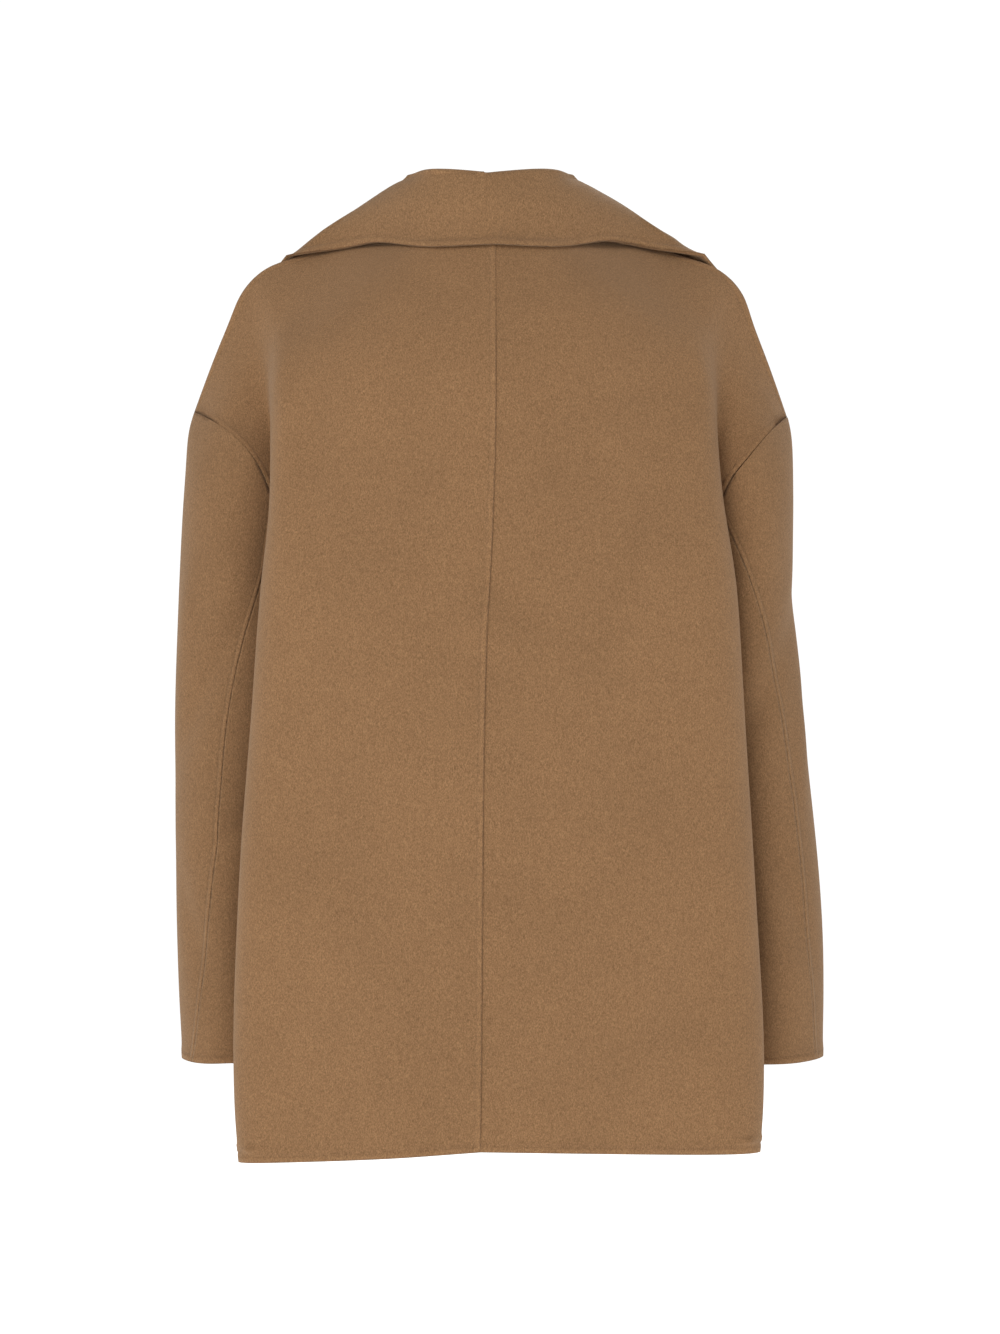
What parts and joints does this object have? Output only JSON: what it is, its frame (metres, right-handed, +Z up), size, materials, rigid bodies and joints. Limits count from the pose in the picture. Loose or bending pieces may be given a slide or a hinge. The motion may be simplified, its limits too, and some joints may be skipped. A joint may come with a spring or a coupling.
{
  "type": "pea coat",
  "caption": "Oversized double-breasted pea coat in thick camel wool, filled out and hollow, with a broad turned-down collar and dropped shoulders.",
  "frame": {"origin": "middle of the neck base, level with the inner ends of the shoulder seams, where a wearer's shoulders hold the coat", "axes": "+Z up, +Y toward the back of the coat, +X toward the wearer's left"},
  "size_m": [0.5199, 0.277, 0.7809],
  "materials": {
    "wool": "matt, brushed nap",
    "button": "satin"
  },
  "bodies": {
    "root": {"back_left": "wool", "back_right": "wool", "front_left": "wool", "front_right": "wool", "sleeve_left_top": "wool", "sleeve_left_under": "wool", "sleeve_right_top": "wool", "sleeve_right_under": "wool", "collar": "wool", "button_1": "button", "button_2": "button", "button_3": "button", "button_4": "button", "button_5": "button", "button_6": "button"}
  },
  "joints": []
}
